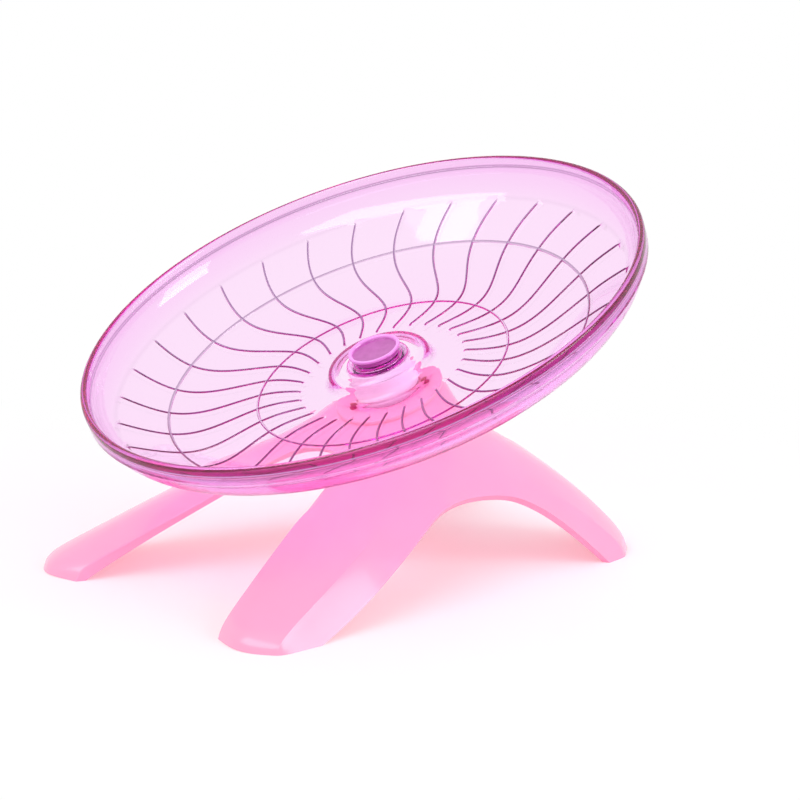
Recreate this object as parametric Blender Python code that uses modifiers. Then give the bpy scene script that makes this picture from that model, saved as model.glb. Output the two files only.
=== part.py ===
"""Tilted running disc for a small pet: a clear dish that spins on a ball bearing over a four-legged base.

Lengths are in metres, +Z is up and the low side of the dish faces -Y. Heights along the tilted
hub axis are measured from the top of the dish's flat floor.
"""

import math

import bmesh
import bpy
from mathutils import Vector
from mathutils.geometry import interpolate_bezier

# Dish: a flat floor, a wide arc and a slope out to the ribs' ends, then a tight bend up into the wall
DISH_TILT = math.radians(24.0)
DISH_WALL = 0.002
SWEEP_BAND = 0.0394
SWEEP_RADIUS = 0.058
SWEEP_ANGLE = math.radians(29.0)
SWEEP_STATION_SHARES = (0.0, 0.25, 0.5, 0.75, 1.0)
WALL_BEND_RADIUS = 0.0124
WALL_ANGLE = math.radians(80.0)
WALL_RISE = 0.002683
LIP_REACH = 0.0024
LIP_ROUNDING = 0.0011
LIP_HEIGHT = 0.006
LIP_STEP = 0.0006
DISH_STEPS = 48

# Grip ribs on the running surface
RIB_COUNT = 30
RIB_FIRST_ANGLE = math.radians(7.6)
RIB_INNER_RADIUS = 0.027
RIB_OUTER_RADIUS = 0.0814
RIB_SWING = 0.0039
RIB_HALF_WIDTH = 0.00055
RIB_SINK = 0.0001
RIB_POINTS = 11
RING_RIB_SHARES = (0.25, 0.75)

# Raised boss in the middle of the dish
BOSS_RADIUS = 0.0164
BOSS_ROOF = 0.0016
BOSS_ROUNDING = 0.0015
BOSS_FILLET = 0.0025
BOSS_INNER_ROUNDING = 0.0009
HUB_PLATE = 0.0012
POCKET_RADIUS = 0.006
POCKET_DEPTH = 0.0012
LABYRINTH_OFFSET = 0.0008
LABYRINTH_WIDTH = 0.0018
LABYRINTH_GROOVE = 0.0009

# Ball bearing, centred on the top of the dish's floor
BEARING_BORE = 0.0025
BEARING_RADIUS = 0.008
BEARING_WIDTH = 0.005
RACE_SHOULDER = 0.00115
BALL_COUNT = 7
BALL_RADIUS = 0.0015
BALL_CLEARANCE = 0.00015
CAGE_WALL = 0.0012
CAGE_FOOT = 0.0005
CAGE_TOP = 0.0009

# Collar that carries the bearing above the base
COLLAR_WALL = 0.0018
COLLAR_SHOULDER = 0.0014
COLLAR_LEDGE = 0.0013
COLLAR_LEDGE_REACH = 0.0011
COLLAR_CHAMFER = 0.0004

# Platform on top of the base, square to the hub axis
PLATFORM_HEIGHT = 0.0505
PLATFORM_DROP = 0.0084
PLATFORM_RADIUS = 0.0175
PLATFORM_THICKNESS = 0.0025
PLATFORM_ROUNDING = 0.0008
SEAT_WALL = 0.0021
SEAT_DEPTH = 0.0057
SOCKET_GROOVE = 0.0007
SOCKET_DEPTH = 0.002

# Hub cap with its spindle, and the screw and washer below
CAP_RADIUS = 0.0083
CAP_HEIGHT = 0.0027
CAP_RIM = 0.001
CAP_RECESS = 0.001
CAP_ROUNDING = 0.0004
SPINDLE_TIP_INSET = 0.0001
PILOT_RUNOUT = 0.0005
WASHER_RADIUS = 0.0034
WASHER_THICKNESS = 0.0005
SCREW_RADIUS = 0.001
SCREW_LENGTH = 0.0051
SCREW_HEAD_RADIUS = 0.002
SCREW_HEAD_HEIGHT = 0.0015
SCREW_FACE_SHARE = 0.7
SCREW_SLOT_WIDTH = 0.0005
SCREW_SLOT_DEPTH = 0.0007
SCREW_SLOT_SHARE = 1.3

# Base shell: half its stance, its reach to the front and the back of the hub, and its wall
STANCE_HALF = 0.0585
FRONT_REACH = 0.0991
REAR_REACH = 0.0659
SHELL_WALL = 0.0022
CROWN_SINK = 0.0022
TOE_DROP = 0.004
FOOT_TIP_SHARE = 0.986
LEG_ROWS = 6
SHELL_LEVELS = 1

# Clearances and overruns
SEAT_GAP = 0.0003
CUT_OVERRUN = 0.004
MERGE_DISTANCE = 0.00001
TURNED_STEPS = 36
SMALL_STEPS = 24

# Rails of one front and one rear leg, from the hub to the foot: shares of the half stance, of the
# reach (towards the front where positive, towards the back where negative) and of PLATFORM_HEIGHT
FRONT_RAIL_SHARES = (
    ((0.179, 0.273, 0.689), (0.256, 0.465, 0.507), (0.470, 0.717, 0.261), (0.607, 0.980, -0.050)),
    ((0.214, 0.243, 0.729), (0.231, 0.435, 0.570), (0.444, 0.717, 0.301), (0.595, 0.950, 0.079)),
    ((0.376, 0.233, 0.739), (0.496, 0.374, 0.624), (0.684, 0.697, 0.356), (0.812, 0.985, 0.087)),
    ((0.496, 0.173, 0.673), (0.769, 0.374, 0.495), (0.846, 0.657, 0.273), (0.974, 0.919, 0.071)),
    ((0.735, 0.173, 0.505), (0.889, 0.384, 0.356), (0.957, 0.596, 0.059), (1.026, 0.879, -0.059)),
)
REAR_RAIL_SHARES = (
    ((0.701, -0.150, 0.491), (0.786, -0.332, 0.446), (0.880, -0.469, 0.238), (0.957, -0.697, -0.059)),
    ((0.521, -0.074, 0.673), (0.615, -0.256, 0.614), (0.786, -0.514, 0.416), (0.906, -0.765, 0.079)),
    ((0.393, -0.226, 0.812), (0.462, -0.408, 0.703), (0.650, -0.697, 0.495), (0.761, -0.924, 0.099)),
    ((0.205, -0.302, 0.871), (0.222, -0.469, 0.762), (0.410, -0.757, 0.485), (0.564, -0.985, 0.079)),
    ((0.137, -0.393, 0.802), (0.171, -0.545, 0.653), (0.350, -0.833, 0.386), (0.538, -1.015, -0.059)),
)
FRONT_ARCH_SHARES = ((0.000, 0.253, 0.713), (0.000, 0.223, 0.762))
SIDE_ARCH_SHARES = ((0.675, 0.031, 0.515), (0.487, 0.062, 0.689))
BACK_ARCH_SHARES = ((0.000, -0.393, 0.822), (0.000, -0.317, 0.891))
TOE_SHARES = (0.01, 0.025, 0.035, 0.012, 0.0)

COLOURS = {
    "pink": ((0.98, 0.45, 0.68, 1.0), 0.25, 0.0),
    "clear": ((0.86, 0.72, 0.88, 0.45), 0.08, 0.0),
    "white": ((0.93, 0.92, 0.94, 1.0), 0.35, 0.0),
    "magenta": ((0.55, 0.03, 0.22, 1.0), 0.2, 0.0),
    "steel": ((0.62, 0.63, 0.65, 1.0), 0.25, 1.0),
    "brass": ((0.72, 0.55, 0.26, 1.0), 0.3, 1.0),
}

# Section of the dish, worked outwards from the ribs' ends
FLOOR_RADIUS = RIB_OUTER_RADIUS - SWEEP_BAND
SLOPE_START_RADIUS = FLOOR_RADIUS + SWEEP_RADIUS * math.sin(SWEEP_ANGLE)
SLOPE_START_HEIGHT = SWEEP_RADIUS * (1.0 - math.cos(SWEEP_ANGLE))
SLOPE_RISE = (RIB_OUTER_RADIUS - SLOPE_START_RADIUS) * math.tan(SWEEP_ANGLE)
BEND_CENTRE_RADIUS = RIB_OUTER_RADIUS - WALL_BEND_RADIUS * math.sin(SWEEP_ANGLE)
BEND_CENTRE_HEIGHT = SLOPE_START_HEIGHT + SLOPE_RISE + WALL_BEND_RADIUS * math.cos(SWEEP_ANGLE)
DISH_RADIUS = BEND_CENTRE_RADIUS + WALL_BEND_RADIUS * math.sin(WALL_ANGLE) + LIP_REACH
DISH_DEPTH = BEND_CENTRE_HEIGHT - WALL_BEND_RADIUS * math.cos(WALL_ANGLE) + WALL_RISE + LIP_ROUNDING

# Radii that follow from the bearing and the screw
BALL_PITCH = (BEARING_BORE + BEARING_RADIUS) / 2
INNER_RING_FACE = BALL_PITCH - RACE_SHOULDER
OUTER_RING_FACE = BALL_PITCH + RACE_SHOULDER
RACE_RADIUS = BALL_RADIUS + BALL_CLEARANCE
LABYRINTH_RADIUS = BEARING_RADIUS + LABYRINTH_OFFSET
COLLAR_RADIUS = BEARING_RADIUS + SEAT_GAP + COLLAR_WALL
COLLAR_SPIGOT_RADIUS = COLLAR_RADIUS - COLLAR_SHOULDER
COLLAR_BORE = BEARING_RADIUS - COLLAR_LEDGE_REACH
SEAT_RADIUS = COLLAR_RADIUS + SOCKET_GROOVE + SEAT_WALL
PILOT_RADIUS = SCREW_RADIUS + SEAT_GAP

# Heights along the hub axis that several pieces share
BEARING_TOP = BEARING_WIDTH / 2
HUB_PLATE_BOTTOM = BEARING_TOP + 2 * SEAT_GAP
POCKET_FLOOR = HUB_PLATE_BOTTOM + HUB_PLATE
BOSS_HEIGHT = POCKET_FLOOR + POCKET_DEPTH
SOCKET_FLOOR = -PLATFORM_DROP - SOCKET_DEPTH
SEAT_BOTTOM = -PLATFORM_DROP - SEAT_DEPTH
WASHER_TOP = -BEARING_TOP - SEAT_GAP
HEAD_TOP = WASHER_TOP - WASHER_THICKNESS - SEAT_GAP
SCREW_END = HEAD_TOP + SCREW_LENGTH

# Where the hub stands, with the part's box centred on the origin in Y
REAR_OVERHANG = DISH_RADIUS * math.cos(DISH_TILT) - (DISH_DEPTH - LIP_HEIGHT) * math.sin(DISH_TILT)
PLATFORM_LEAN = PLATFORM_DROP * math.sin(DISH_TILT)
HUB_Y = (FOOT_TIP_SHARE * FRONT_REACH - REAR_OVERHANG + PLATFORM_LEAN) / 2
FLOOR_Y = HUB_Y - PLATFORM_LEAN
FLOOR_Z = PLATFORM_HEIGHT + PLATFORM_DROP * math.cos(DISH_TILT)


def clear_scene():
    """Remove every object of the opened file."""
    for obj in list(bpy.data.objects):
        bpy.data.objects.remove(obj, do_unlink=True)


def new_collection(name):
    """Add a collection to the scene."""
    group = bpy.data.collections.new(name)
    bpy.context.scene.collection.children.link(group)
    return group


def colour_material(obj, colour):
    """Give an object its own Principled material."""
    rgba, roughness, metallic = COLOURS[colour]
    material = bpy.data.materials.new(obj.name + "_finish")
    material.use_nodes = True
    shader = material.node_tree.nodes["Principled BSDF"]
    shader.inputs["Base Color"].default_value = rgba
    shader.inputs["Roughness"].default_value = roughness
    shader.inputs["Metallic"].default_value = metallic
    shader.inputs["Alpha"].default_value = rgba[3]
    obj.data.materials.append(material)


def link_mesh(name, mesh_maker, group, parent=None):
    """Make an object from a bmesh that mesh_maker fills."""
    mesh = bpy.data.meshes.new(name)
    obj = bpy.data.objects.new(name, mesh)
    group.objects.link(obj)
    obj.parent = parent
    shape = bmesh.new()
    mesh_maker(shape)
    shape.to_mesh(mesh)
    shape.free()
    return obj


def make_cutter(obj):
    """Show an object as a wire and keep it out of the part."""
    obj.hide_render = True
    obj.display_type = "WIRE"
    return obj


def turned(name, profile, group, parent, steps=TURNED_STEPS, closed=True):
    """Turn a profile of (radius, height) points about the parent's Z axis."""

    def outline(shape):
        points = [shape.verts.new((radius, 0.0, height)) for radius, height in profile]
        for first, second in zip(points, points[1:]):
            shape.edges.new((first, second))
        if closed:
            shape.edges.new((points[-1], points[0]))

    obj = link_mesh(name, outline, group, parent)
    screw = obj.modifiers.new("turn", "SCREW")
    screw.steps = steps
    screw.render_steps = steps
    screw.use_merge_vertices = True
    screw.merge_threshold = MERGE_DISTANCE
    screw.use_smooth_shade = True
    return obj


def boolean(obj, operation, other=None, group=None):
    """Add an exact Boolean with one object or with a whole collection."""
    modifier = obj.modifiers.new(operation.lower(), "BOOLEAN")
    modifier.operation = operation
    modifier.solver = "EXACT"
    if group:
        modifier.operand_type = "COLLECTION"
        modifier.collection = group
    else:
        modifier.object = other


def arc(centre, radius, start, end, count):
    """Points on an arc, with angles counted from straight down towards +X."""
    points = []
    for i in range(count + 1):
        angle = start + (end - start) * i / count
        points.append((centre[0] + radius * math.sin(angle), centre[1] - radius * math.cos(angle)))
    return points


def floor_height(radius):
    """Height of the running surface at a radius inside the ribs' ends."""
    if radius <= FLOOR_RADIUS:
        return 0.0
    if radius <= SLOPE_START_RADIUS:
        return SWEEP_RADIUS - math.sqrt(SWEEP_RADIUS**2 - (radius - FLOOR_RADIUS) ** 2)
    return SLOPE_START_HEIGHT + (radius - SLOPE_START_RADIUS) * math.tan(SWEEP_ANGLE)


def ring_rib_radii():
    """Radii of the two ring ribs, at the widest swings of the curved ribs."""
    span = RIB_OUTER_RADIUS - RIB_INNER_RADIUS
    return [RIB_INNER_RADIUS + share * span for share in RING_RIB_SHARES]


def ring_rib(radius):
    """Profile points of one ring rib."""
    inside = radius - RIB_HALF_WIDTH
    outside = radius + RIB_HALF_WIDTH
    crest = floor_height(radius) + RIB_HALF_WIDTH - RIB_SINK
    return [(inside, floor_height(inside)), (radius, crest), (outside, floor_height(outside))]


def running_surface():
    """Profile of the floor, arc and slope with the ring ribs, from the boss to the wall's bend."""
    points = []
    for radius in ring_rib_radii():
        points += ring_rib(radius)
    for share in SWEEP_STATION_SHARES:
        radius = FLOOR_RADIUS + share * (SLOPE_START_RADIUS - FLOOR_RADIUS)
        if all(abs(radius - ring) > RIB_HALF_WIDTH for ring in ring_rib_radii()):
            points.append((radius, floor_height(radius)))
    return sorted(points)


def dish_profile():
    """Closed section of the dish: top side outwards, lip, then underside inwards."""
    half_pi = math.pi / 2
    shoulder = (BOSS_RADIUS - BOSS_ROUNDING, BOSS_HEIGHT - BOSS_ROUNDING)
    foot = (BOSS_RADIUS + BOSS_FILLET, BOSS_FILLET)
    sweep = (FLOOR_RADIUS, SWEEP_RADIUS)
    bend = (BEND_CENTRE_RADIUS, BEND_CENTRE_HEIGHT)
    rim = (DISH_RADIUS - LIP_ROUNDING, DISH_DEPTH - LIP_ROUNDING)
    lip_bottom = DISH_DEPTH - LIP_HEIGHT
    under_bend = WALL_BEND_RADIUS + DISH_WALL
    lip_angle = math.acos((bend[1] - lip_bottom + LIP_STEP) / under_bend)
    inner_boss = BOSS_RADIUS - DISH_WALL
    roof = BOSS_HEIGHT - BOSS_ROOF
    ring_in = LABYRINTH_RADIUS - LABYRINTH_WIDTH / 2
    ring_out = LABYRINTH_RADIUS + LABYRINTH_WIDTH / 2
    contact = INNER_RING_FACE
    bore = BEARING_BORE + SEAT_GAP

    points = [(bore, POCKET_FLOOR), (POCKET_RADIUS, POCKET_FLOOR), (POCKET_RADIUS, BOSS_HEIGHT)]
    points += arc(shoulder, BOSS_ROUNDING, math.pi, half_pi, 3)
    points += arc(foot, BOSS_FILLET, -half_pi, 0.0, 3)
    points += running_surface()
    points += arc(bend, WALL_BEND_RADIUS, SWEEP_ANGLE, WALL_ANGLE, 4)
    points += arc(rim, LIP_ROUNDING, 1.5 * math.pi, half_pi, 4)
    points.append((DISH_RADIUS, lip_bottom + LIP_STEP))
    points.append((DISH_RADIUS - LIP_STEP, lip_bottom))
    points += arc(bend, under_bend, lip_angle, SWEEP_ANGLE, 3)
    points += arc(sweep, SWEEP_RADIUS + DISH_WALL, SWEEP_ANGLE, 0.0, 4)
    points += arc(foot, BOSS_FILLET + DISH_WALL, 0.0, -half_pi, 3)
    points.append((inner_boss, roof - BOSS_INNER_ROUNDING))
    points.append((inner_boss - BOSS_INNER_ROUNDING, roof))
    points += [(ring_out, roof), (ring_out, HUB_PLATE_BOTTOM), (ring_in, HUB_PLATE_BOTTOM), (ring_in, roof)]
    points += [(ring_in - LABYRINTH_GROOVE, roof), (ring_in - LABYRINTH_GROOVE, HUB_PLATE_BOTTOM)]
    points += [(contact, HUB_PLATE_BOTTOM), (contact, BEARING_TOP + SEAT_GAP), (bore, BEARING_TOP + SEAT_GAP)]
    return points


def rib_point(radius, base_angle):
    """Point of a curved rib's centreline, which swings to both sides of its base angle."""
    share = (radius - RIB_INNER_RADIUS) / (RIB_OUTER_RADIUS - RIB_INNER_RADIUS)
    angle = base_angle - RIB_SWING / radius * math.sin(2 * math.pi * share)
    height = floor_height(radius) - RIB_SINK
    return radius * math.cos(angle), radius * math.sin(angle), height


def curve_to_mesh(obj, group):
    """Replace a curve object with a closed mesh object of the same name and place."""
    name = obj.name
    evaluated = obj.evaluated_get(bpy.context.evaluated_depsgraph_get())
    mesh = bpy.data.meshes.new_from_object(evaluated)
    shape = bmesh.new()
    shape.from_mesh(mesh)
    bmesh.ops.remove_doubles(shape, verts=shape.verts, dist=MERGE_DISTANCE)
    shape.to_mesh(mesh)
    shape.free()
    made = bpy.data.objects.new(name + "_mesh", mesh)
    group.objects.link(made)
    made.matrix_world = obj.matrix_world.copy()
    bpy.data.objects.remove(obj, do_unlink=True)
    return made


def make_rib(index, group, parent):
    """One curved grip rib, laid half into the running surface."""
    base_angle = RIB_FIRST_ANGLE + index * 2 * math.pi / RIB_COUNT
    curve = bpy.data.curves.new(f"rib_{index}", "CURVE")
    curve.dimensions = "3D"
    curve.bevel_depth = RIB_HALF_WIDTH
    curve.bevel_resolution = 0
    curve.use_fill_caps = True
    spline = curve.splines.new("POLY")
    spline.points.add(RIB_POINTS - 1)
    for i, point in enumerate(spline.points):
        share = i / (RIB_POINTS - 1)
        radius = RIB_INNER_RADIUS + share * (RIB_OUTER_RADIUS - RIB_INNER_RADIUS)
        point.co = (*rib_point(radius, base_angle), 1.0)
    obj = bpy.data.objects.new(f"rib_{index}", curve)
    group.objects.link(obj)
    obj.parent = parent
    bpy.context.view_layer.update()
    return make_cutter(curve_to_mesh(obj, group))


def make_dish(parts, guides, axis):
    """Clear dish with its boss, its wall and lip, and the grip ribs."""
    ribs = bpy.data.collections.new("grip_ribs")
    guides.children.link(ribs)
    dish = turned("running_dish", dish_profile(), parts, axis, DISH_STEPS)
    for index in range(RIB_COUNT):
        make_rib(index, ribs, axis)
    boolean(dish, "UNION", group=ribs)
    colour_material(dish, "clear")


def make_hub_cap(parts, axis):
    """Cap over the boss, with the spindle that passes through the bearing."""
    bottom = BOSS_HEIGHT + SEAT_GAP
    top = bottom + CAP_HEIGHT
    recess = CAP_RADIUS - CAP_RIM
    plug = POCKET_RADIUS - SEAT_GAP
    plug_bottom = POCKET_FLOOR + SEAT_GAP
    spindle = BEARING_BORE - SEAT_GAP
    tip = -BEARING_TOP + SPINDLE_TIP_INSET
    profile = [(0.0, top - CAP_RECESS), (recess - CAP_ROUNDING, top - CAP_RECESS)]
    profile += [(recess, top - CAP_RECESS + CAP_ROUNDING), (recess, top - CAP_ROUNDING)]
    profile += [(recess + CAP_ROUNDING / 2, top), (CAP_RADIUS - CAP_ROUNDING, top)]
    profile += [(CAP_RADIUS, top - CAP_ROUNDING), (CAP_RADIUS, bottom), (plug, bottom)]
    profile += [(plug, plug_bottom), (spindle, plug_bottom), (spindle, tip), (PILOT_RADIUS, tip)]
    profile += [(PILOT_RADIUS, SCREW_END + PILOT_RUNOUT), (0.0, SCREW_END + PILOT_RUNOUT + SEAT_GAP)]
    cap = turned("hub_cap", profile, parts, axis, closed=False)
    colour_material(cap, "magenta")


def race(side):
    """Groove points of the outer (1) or inner (-1) ring, from its upper to its lower edge."""
    half_angle = math.acos(RACE_SHOULDER / RACE_RADIUS)
    points = []
    for i in range(5):
        angle = half_angle * (1 - i / 2)
        points.append((BALL_PITCH + side * RACE_RADIUS * math.cos(angle), RACE_RADIUS * math.sin(angle)))
    return points


def make_bearing_rings(parts, axis):
    """Inner and outer ring with a ball groove each."""
    inner = [(BEARING_BORE, BEARING_TOP), (INNER_RING_FACE, BEARING_TOP)]
    inner += race(-1)
    inner += [(INNER_RING_FACE, -BEARING_TOP), (BEARING_BORE, -BEARING_TOP)]
    outer = [(OUTER_RING_FACE, BEARING_TOP), (BEARING_RADIUS, BEARING_TOP)]
    outer += [(BEARING_RADIUS, -BEARING_TOP), (OUTER_RING_FACE, -BEARING_TOP)]
    outer += reversed(race(1))
    for name, profile in (("bearing_inner_ring", inner), ("bearing_outer_ring", outer)):
        colour_material(turned(name, profile, parts, axis, SMALL_STEPS), "steel")


def make_cage(parts, guides, axis):
    """Ring between the races, with an open pocket for each ball."""
    pocket = BALL_RADIUS + BALL_CLEARANCE
    inside = BALL_PITCH - CAGE_WALL / 2
    outside = BALL_PITCH + CAGE_WALL / 2
    bottom = -pocket - CAGE_FOOT
    profile = [(inside, CAGE_TOP), (outside, CAGE_TOP), (outside, bottom), (inside, bottom)]
    cage = turned("bearing_cage", profile, parts, axis, TURNED_STEPS)
    pockets = bpy.data.collections.new("cage_pockets")
    guides.children.link(pockets)

    def drill(shape):
        bmesh.ops.create_cone(
            shape,
            cap_ends=True,
            segments=16,
            radius1=pocket,
            radius2=pocket,
            depth=2 * CAGE_WALL,
        )

    for index in range(BALL_COUNT):
        angle = 2 * math.pi * index / BALL_COUNT
        cutter = make_cutter(link_mesh(f"pocket_{index}", drill, pockets, axis))
        cutter.location = (BALL_PITCH * math.cos(angle), BALL_PITCH * math.sin(angle), 0.0)
        cutter.rotation_euler = (0.0, math.pi / 2, angle)
    boolean(cage, "DIFFERENCE", group=pockets)
    colour_material(cage, "brass")


def make_balls(parts, axis):
    """Steel balls, evenly spaced on the pitch circle."""

    def ball(shape):
        bmesh.ops.create_uvsphere(shape, u_segments=10, v_segments=7, radius=BALL_RADIUS)

    for index in range(BALL_COUNT):
        angle = 2 * math.pi * index / BALL_COUNT
        obj = link_mesh(f"bearing_ball_{index + 1}", ball, parts, axis)
        obj.location = (BALL_PITCH * math.cos(angle), BALL_PITCH * math.sin(angle), 0.0)
        obj.data.shade_smooth()
        colour_material(obj, "steel")


def make_collar(parts, axis):
    """Sleeve that stands in the base's socket and holds the bearing's outer ring."""
    seat = BEARING_RADIUS + SEAT_GAP
    top = BEARING_TOP
    ledge = -BEARING_TOP - SEAT_GAP
    foot = SOCKET_FLOOR + SEAT_GAP
    tail = SEAT_BOTTOM + SEAT_GAP
    tube = COLLAR_SPIGOT_RADIUS - COLLAR_LEDGE
    profile = [(seat, top), (COLLAR_RADIUS - COLLAR_CHAMFER, top), (COLLAR_RADIUS, top - COLLAR_CHAMFER)]
    profile += [(COLLAR_RADIUS, foot), (COLLAR_SPIGOT_RADIUS, foot), (COLLAR_SPIGOT_RADIUS, tail)]
    profile += [(tube, tail), (tube, ledge - COLLAR_LEDGE), (COLLAR_BORE, ledge - COLLAR_LEDGE)]
    profile += [(COLLAR_BORE, ledge), (seat, ledge)]
    colour_material(turned("bearing_collar", profile, parts, axis), "white")


def make_washer(parts, axis):
    """Washer between the inner ring and the screw's head."""
    bottom = WASHER_TOP - WASHER_THICKNESS
    profile = [(PILOT_RADIUS, WASHER_TOP), (WASHER_RADIUS, WASHER_TOP), (WASHER_RADIUS, bottom)]
    profile.append((PILOT_RADIUS, bottom))
    colour_material(turned("spindle_washer", profile, parts, axis, SMALL_STEPS), "steel")


def make_screw(parts, guides, axis):
    """Cross-head screw that closes the stack of cap, dish, inner ring and washer."""
    bottom = HEAD_TOP - SCREW_HEAD_HEIGHT
    profile = [(0.0, SCREW_END), (SCREW_RADIUS / 2, SCREW_END), (SCREW_RADIUS, SCREW_END - SCREW_RADIUS / 2)]
    profile += [(SCREW_RADIUS, HEAD_TOP), (SCREW_HEAD_RADIUS, HEAD_TOP)]
    profile += [(SCREW_HEAD_RADIUS, bottom + SCREW_HEAD_HEIGHT / 2)]
    profile += [(SCREW_HEAD_RADIUS * SCREW_FACE_SHARE, bottom), (0.0, bottom)]
    screw = turned("spindle_screw", profile, parts, axis, SMALL_STEPS, closed=False)
    cross = bpy.data.collections.new("screw_cross")
    guides.children.link(cross)
    for index in range(2):

        def slot(shape):
            cube = bmesh.ops.create_cube(shape, size=1.0)["verts"]
            size = (SCREW_HEAD_RADIUS * SCREW_SLOT_SHARE, SCREW_SLOT_WIDTH, 2 * SCREW_SLOT_DEPTH)
            bmesh.ops.scale(shape, vec=size, verts=cube)

        cutter = make_cutter(link_mesh(f"slot_{index}", slot, cross, axis))
        cutter.location = (0.0, 0.0, bottom)
        cutter.rotation_euler = (0.0, 0.0, index * math.pi / 2)
    boolean(screw, "DIFFERENCE", group=cross)
    colour_material(screw, "steel")


def base_point(shares):
    """Place in the part's frame of a point given in shares of the base's sizes."""
    across, along, up = shares
    reach = FRONT_REACH if along > 0 else REAR_REACH
    return Vector((across * STANCE_HALF, HUB_Y - along * reach, up * PLATFORM_HEIGHT))


def leg_rows(rail_shares):
    """Rows of points down one leg, one point on each rail, and a last row below the floor."""
    rails = [[base_point(point) for point in rail] for rail in rail_shares]
    curves = [interpolate_bezier(*rail, LEG_ROWS + 1) for rail in rails]
    rows = [[curve[i] for curve in curves] for i in range(LEG_ROWS + 1)]
    toe = []
    for point, previous, share in zip(rows[-1], rows[-2], TOE_SHARES):
        run = (point - previous).normalized()
        drop = Vector((run.x * share * STANCE_HALF, run.y * share * STANCE_HALF, -TOE_DROP))
        toe.append(point + drop)
    return rows + [toe]


def platform_ring(radius):
    """Half ring square to the hub axis, from the front to the back, a point for each sector."""
    centre_y = HUB_Y + CROWN_SINK * math.sin(DISH_TILT)
    centre_z = PLATFORM_HEIGHT - CROWN_SINK * math.cos(DISH_TILT)
    points = []
    for i in range(9):
        angle = math.pi * i / 8
        across = radius * math.sin(angle)
        back = -radius * math.cos(angle)
        points.append(
            Vector((across, centre_y + back * math.cos(DISH_TILT), centre_z + back * math.sin(DISH_TILT)))
        )
    return points


def shell_half(shape):
    """Half of the base's outer skin, open at the mirror plane: crown, two legs and their arches."""
    made = {}

    def vert(point):
        key = tuple(round(value / MERGE_DISTANCE) for value in point)
        if key not in made:
            made[key] = shape.verts.new(point)
        return made[key]

    def strip(first, second):
        for i in range(len(first) - 1):
            corners = [vert(first[i]), vert(second[i]), vert(second[i + 1]), vert(first[i + 1])]
            shape.faces.new(corners)

    front = leg_rows(FRONT_RAIL_SHARES)
    rear = leg_rows(REAR_RAIL_SHARES)
    front_edge, front_crease = [base_point(point) for point in FRONT_ARCH_SHARES]
    side_edge, side_crease = [base_point(point) for point in SIDE_ARCH_SHARES]
    back_edge, back_crease = [base_point(point) for point in BACK_ARCH_SHARES]

    ring = platform_ring(PLATFORM_RADIUS - PLATFORM_ROUNDING)
    shoulder = [front_crease, *front[0][1:4], side_crease, *rear[0][1:4], back_crease]
    centre = vert((ring[0] + ring[-1]) / 2)
    for i in range(0, 8, 2):
        shape.faces.new((centre, vert(ring[i]), vert(ring[i + 1]), vert(ring[i + 2])))
    strip(ring, shoulder)
    strip([front_crease, front[0][1]], [front_edge, front[0][0]])
    strip([front[0][3], side_crease, rear[0][1]], [front[0][4], side_edge, rear[0][0]])
    strip([rear[0][3], back_crease], [rear[0][4], back_edge])
    for leg in (front, rear):
        for row, following in zip(leg, leg[1:]):
            strip(row, following)


def make_base(parts, guides, axis):
    """One moulded shell: four hollow legs, the platform and the collar's socket."""
    base = link_mesh("base_shell", shell_half, parts)
    mirror = base.modifiers.new("other_side", "MIRROR")
    mirror.merge_threshold = MERGE_DISTANCE
    mirror.use_clip = True
    smooth = base.modifiers.new("smooth", "SUBSURF")
    smooth.levels = SHELL_LEVELS
    smooth.render_levels = SHELL_LEVELS
    wall = base.modifiers.new("wall", "SOLIDIFY")
    wall.thickness = SHELL_WALL
    wall.offset = -1.0
    base.data.shade_smooth()

    top = -PLATFORM_DROP
    edge = PLATFORM_RADIUS - PLATFORM_ROUNDING
    under = top - PLATFORM_THICKNESS
    seat = [(0.0, top), (edge, top), (PLATFORM_RADIUS, top - PLATFORM_ROUNDING), (PLATFORM_RADIUS, under)]
    seat += [(SEAT_RADIUS, under - PLATFORM_ROUNDING), (SEAT_RADIUS, SEAT_BOTTOM), (0.0, SEAT_BOTTOM)]
    boolean(base, "UNION", make_cutter(turned("seat_solid", seat, guides, axis, closed=False)))

    groove = COLLAR_RADIUS + SOCKET_GROOVE
    through = COLLAR_SPIGOT_RADIUS + SEAT_GAP
    above = top + CUT_OVERRUN
    below = SEAT_BOTTOM - CUT_OVERRUN
    socket = [(0.0, above), (groove, above), (groove, SOCKET_FLOOR), (through, SOCKET_FLOOR)]
    socket += [(through, below), (0.0, below)]
    boolean(base, "DIFFERENCE", make_cutter(turned("socket_cut", socket, guides, axis, closed=False)))

    def floor_block(shape):
        cube = bmesh.ops.create_cube(shape, size=1.0)["verts"]
        length = FRONT_REACH + REAR_REACH
        depth = TOE_DROP + PLATFORM_HEIGHT
        bmesh.ops.scale(shape, vec=(4 * STANCE_HALF, 2 * length, depth), verts=cube)
        bmesh.ops.translate(shape, vec=(0.0, HUB_Y, -depth / 2), verts=cube)

    boolean(base, "DIFFERENCE", make_cutter(link_mesh("floor_cut", floor_block, guides)))
    colour_material(base, "pink")


def main():
    clear_scene()
    parts = new_collection("pet_running_disc")
    guides = new_collection("cutters")
    axis = bpy.data.objects.new("hub_axis", None)
    parts.objects.link(axis)
    axis.location = (0.0, FLOOR_Y, FLOOR_Z)
    axis.rotation_euler = (DISH_TILT, 0.0, 0.0)
    bpy.context.view_layer.update()
    make_base(parts, guides, axis)
    make_collar(parts, axis)
    make_bearing_rings(parts, axis)
    make_cage(parts, guides, axis)
    make_balls(parts, axis)
    make_dish(parts, guides, axis)
    make_hub_cap(parts, axis)
    make_washer(parts, axis)
    make_screw(parts, guides, axis)


main()
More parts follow.
